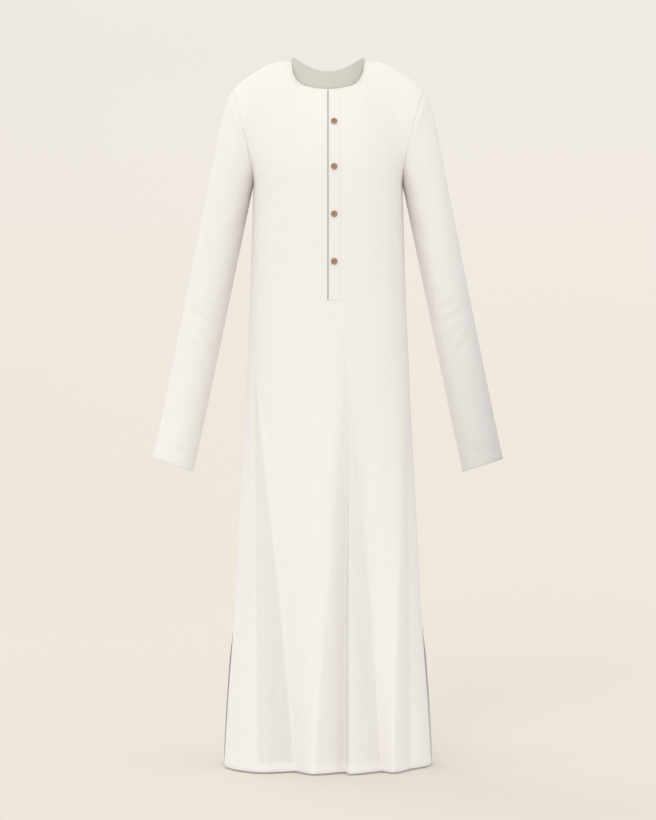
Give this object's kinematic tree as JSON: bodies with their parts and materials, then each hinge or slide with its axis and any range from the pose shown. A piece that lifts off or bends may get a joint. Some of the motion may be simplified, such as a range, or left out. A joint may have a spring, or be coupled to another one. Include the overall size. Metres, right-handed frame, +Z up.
{
  "type": "kurta",
  "caption": "Full-length long-sleeved kurta in cream cotton, filled out as worn, with a grey stand collar and a buttoned placket.",
  "frame": {"origin": "middle of the neck, level with the top of the shoulders, where the wearer's shoulders hold the garment up", "axes": "+Z up, towards the head; -Y to the wearer's front; +X to the wearer's left"},
  "size_m": [0.6618, 0.3072, 1.3442],
  "materials": {
    "cotton_cream": "matte plain-weave cotton",
    "cotton_grey": "matte plain-weave cotton, two layers",
    "button": "satin brown, four holes"
  },
  "bodies": {
    "root": {"front_yoke_left": "cotton_cream", "front_yoke_right": "cotton_cream", "front_trunk": "cotton_cream", "front_skirt": "cotton_cream", "front_hem": "cotton_cream", "back_yoke": "cotton_cream", "back_trunk": "cotton_cream", "back_skirt": "cotton_cream", "back_hem": "cotton_cream", "sleeve_left_upper": "cotton_cream", "sleeve_left_lower": "cotton_cream", "sleeve_right_upper": "cotton_cream", "sleeve_right_lower": "cotton_cream", "collar": "cotton_grey", "placket_over": "cotton_cream", "placket_under": "cotton_cream", "button_1": "button", "button_2": "button", "button_3": "button", "button_4": "button"}
  },
  "joints": []
}
